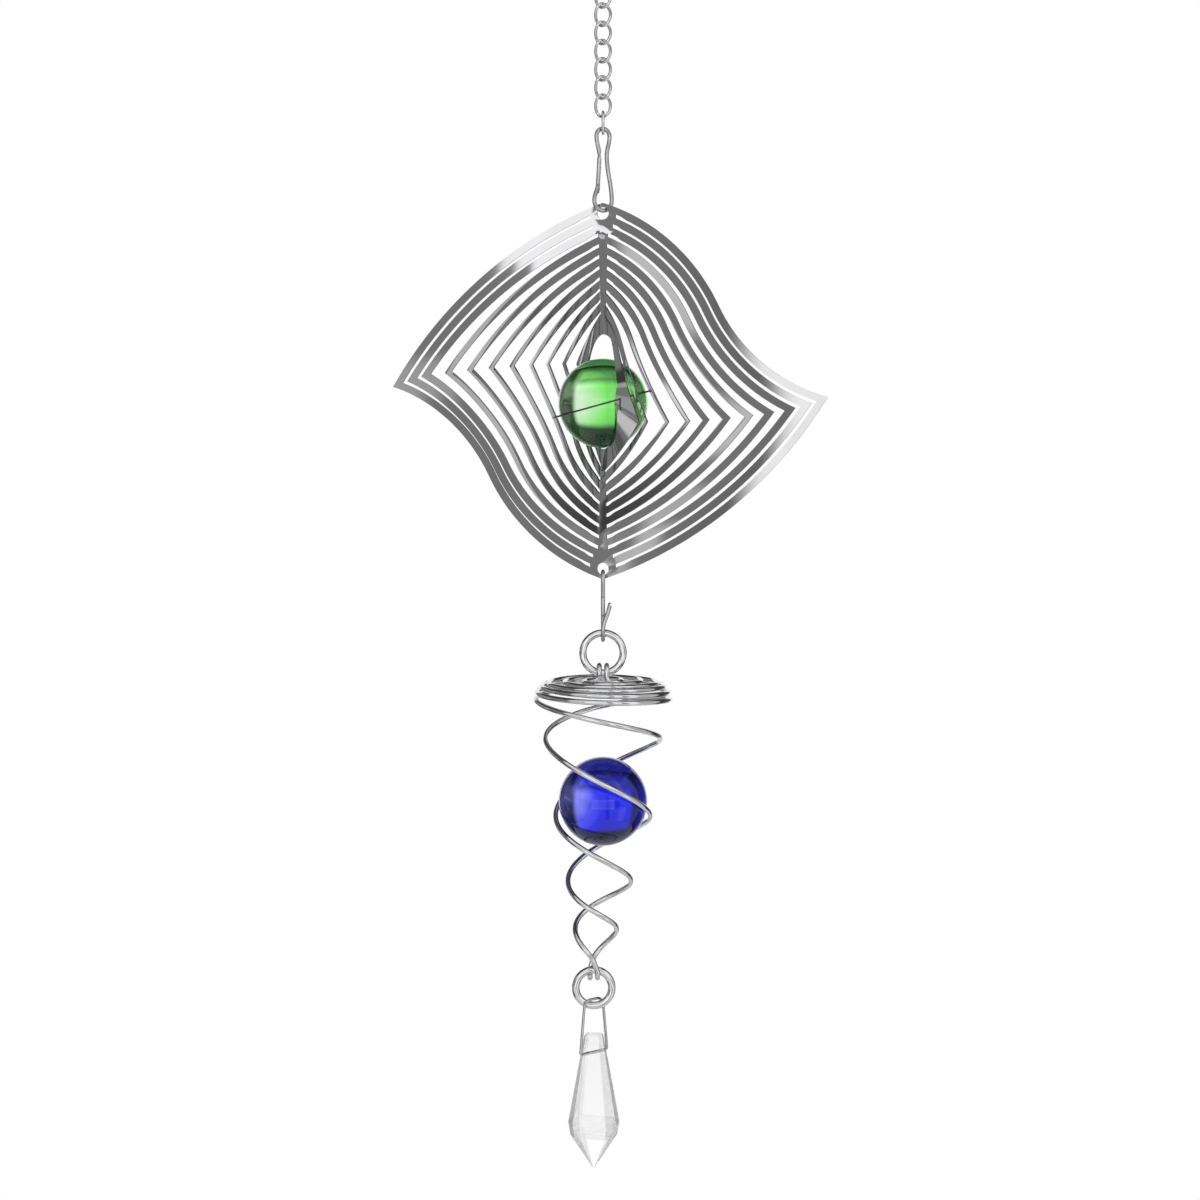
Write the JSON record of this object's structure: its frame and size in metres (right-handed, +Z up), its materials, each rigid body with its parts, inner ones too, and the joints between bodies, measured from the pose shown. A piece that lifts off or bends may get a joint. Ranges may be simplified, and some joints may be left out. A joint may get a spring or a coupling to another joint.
{
  "type": "hanging wind spinner",
  "caption": "Hanging wind spinner: hook and chain, a fanned ringed metal sheet round a green glass ball, a coiled wire tail with a blue ball and a crystal drop.",
  "frame": {"origin": "the point inside the top of the hook where it bears on what it hangs from", "axes": "+Z up along the hanging line, -Y towards the front view, +X to the right of it"},
  "size_m": [0.122, 0.0544, 0.3675],
  "materials": {
    "polished_steel": "polished stainless wire",
    "chain_steel": "bright chain wire",
    "spring_steel": "plain drawn spring wire",
    "mirror_sheet": "mirror-polished stainless sheet",
    "tail_steel": "polished stainless wire",
    "green_glass": "green glass ball",
    "blue_glass": "blue glass ball",
    "clear_crystal": "clear faceted crystal"
  },
  "bodies": {
    "hook": {"hanging_hook": "polished_steel"},
    "swivel": {"swivel_eye": "polished_steel"},
    "link_1": {"chain_link_1": "chain_steel"},
    "link_2": {"chain_link_2": "chain_steel"},
    "link_3": {"chain_link_3": "chain_steel"},
    "link_4": {"chain_link_4": "chain_steel"},
    "link_5": {"chain_link_5": "chain_steel"},
    "link_6": {"chain_link_6": "chain_steel"},
    "link_7": {"chain_link_7": "chain_steel"},
    "link_8": {"chain_link_8": "chain_steel"},
    "end_ring": {"chain_end_ring": "chain_steel"},
    "upper_clip": {"upper_clip_frame": "spring_steel"},
    "upper_gate": {"upper_clip_gate": "spring_steel"},
    "spinner": {"spinner_sheet": "mirror_sheet", "ball_keeper_wire": "spring_steel"},
    "green_ball": {"green_ball": "green_glass"},
    "lower_clip": {"lower_clip_frame": "spring_steel"},
    "lower_gate": {"lower_clip_gate": "spring_steel"},
    "top_ring": {"tail_top_ring": "polished_steel"},
    "tail": {"tail_wire_a": "tail_steel", "tail_wire_b": "tail_steel"},
    "blue_ball": {"blue_ball": "blue_glass"},
    "bottom_ring": {"tail_bottom_ring": "polished_steel"},
    "bail": {"crystal_bail": "spring_steel"},
    "crystal": {"crystal_drop": "clear_crystal"}
  },
  "joints": [
    {"name": "swivel_turn", "type": "hinge", "parent": "hook", "child": "swivel", "pos_m": [0, 0, -0.02123], "axis": [0, 0, 1], "continuous": true},
    {"name": "link_1_swing", "type": "hinge", "parent": "swivel", "child": "link_1", "pos_m": [0, 0, -0.02928], "axis": [0.7071, -0.7071, 0], "range_deg": [-25, 25]},
    {"name": "link_2_swing", "type": "hinge", "parent": "link_1", "child": "link_2", "pos_m": [0, 0, -0.03301], "axis": [0.7071, 0.7071, 0], "range_deg": [-25, 25]},
    {"name": "link_3_swing", "type": "hinge", "parent": "link_2", "child": "link_3", "pos_m": [0, 0, -0.03901], "axis": [-0.7071, 0.7071, 0], "range_deg": [-25, 25]},
    {"name": "link_4_swing", "type": "hinge", "parent": "link_3", "child": "link_4", "pos_m": [0, 0, -0.04301], "axis": [-0.7071, -0.7071, 0], "range_deg": [-25, 25]},
    {"name": "link_5_swing", "type": "hinge", "parent": "link_4", "child": "link_5", "pos_m": [0, 0, -0.04901], "axis": [0.7071, -0.7071, 0], "range_deg": [-25, 25]},
    {"name": "link_6_swing", "type": "hinge", "parent": "link_5", "child": "link_6", "pos_m": [0, 0, -0.05301], "axis": [0.7071, 0.7071, 0], "range_deg": [-25, 25]},
    {"name": "link_7_swing", "type": "hinge", "parent": "link_6", "child": "link_7", "pos_m": [0, 0, -0.05901], "axis": [-0.7071, 0.7071, 0], "range_deg": [-25, 25]},
    {"name": "link_8_swing", "type": "hinge", "parent": "link_7", "child": "link_8", "pos_m": [0, 0, -0.06301], "axis": [-0.7071, -0.7071, 0], "range_deg": [-25, 25]},
    {"name": "end_ring_swing", "type": "hinge", "parent": "link_8", "child": "end_ring", "pos_m": [0, 0, -0.06901], "axis": [0.7071, -0.7071, 0], "range_deg": [-20, 20]},
    {"name": "upper_clip_swing", "type": "hinge", "parent": "end_ring", "child": "upper_clip", "pos_m": [0, 0, -0.07376], "axis": [0, -1, 0], "range_deg": [-20, 20]},
    {"name": "upper_gate_flex", "type": "hinge", "parent": "upper_clip", "child": "upper_gate", "pos_m": [-0.00104, -0.0006, -0.07973], "axis": [0.5, -0.866, 0], "range_deg": [0, 12], "stiffness_Nm_per_rad": 0.02},
    {"name": "spinner_swing", "type": "hinge", "parent": "upper_clip", "child": "spinner", "pos_m": [0, 0, -0.09493], "axis": [0.866, 0.5, 0], "range_deg": [-20, 20]},
    {"name": "green_ball_turn", "type": "hinge", "parent": "spinner", "child": "green_ball", "pos_m": [0, 0, -0.14843], "axis": [0, 0, 1], "continuous": true},
    {"name": "lower_clip_swing", "type": "hinge", "parent": "spinner", "child": "lower_clip", "pos_m": [0, 0, -0.19553], "axis": [0, 1, 0], "range_deg": [-25, 25]},
    {"name": "lower_gate_flex", "type": "hinge", "parent": "lower_clip", "child": "lower_gate", "pos_m": [0, -0.0012, -0.20293], "axis": [1, 0, 0], "range_deg": [0, 12], "stiffness_Nm_per_rad": 0.02},
    {"name": "top_ring_swing", "type": "hinge", "parent": "lower_clip", "child": "top_ring", "pos_m": [0, 0, -0.21483], "axis": [0, -1, 0], "range_deg": [-25, 25]},
    {"name": "tail_swing", "type": "hinge", "parent": "top_ring", "child": "tail", "pos_m": [0, 0, -0.22413], "axis": [1, 0, 0], "range_deg": [-25, 25]},
    {"name": "blue_ball_turn", "type": "hinge", "parent": "tail", "child": "blue_ball", "pos_m": [0, 0, -0.26043], "axis": [0, 0, 1], "continuous": true},
    {"name": "bottom_ring_swing", "type": "hinge", "parent": "tail", "child": "bottom_ring", "pos_m": [-0.0026, 0, -0.30853], "axis": [-1, 0, 0], "range_deg": [-30, 30]},
    {"name": "bail_swing", "type": "hinge", "parent": "bottom_ring", "child": "bail", "pos_m": [-0.0026, 0, -0.31873], "axis": [1, 0, 0], "range_deg": [-20, 20]},
    {"name": "crystal_swing", "type": "hinge", "parent": "bail", "child": "crystal", "pos_m": [-0.0026, 0, -0.33208], "axis": [-0.766, -0.6428, 0], "range_deg": [-40, 40]}
  ]
}
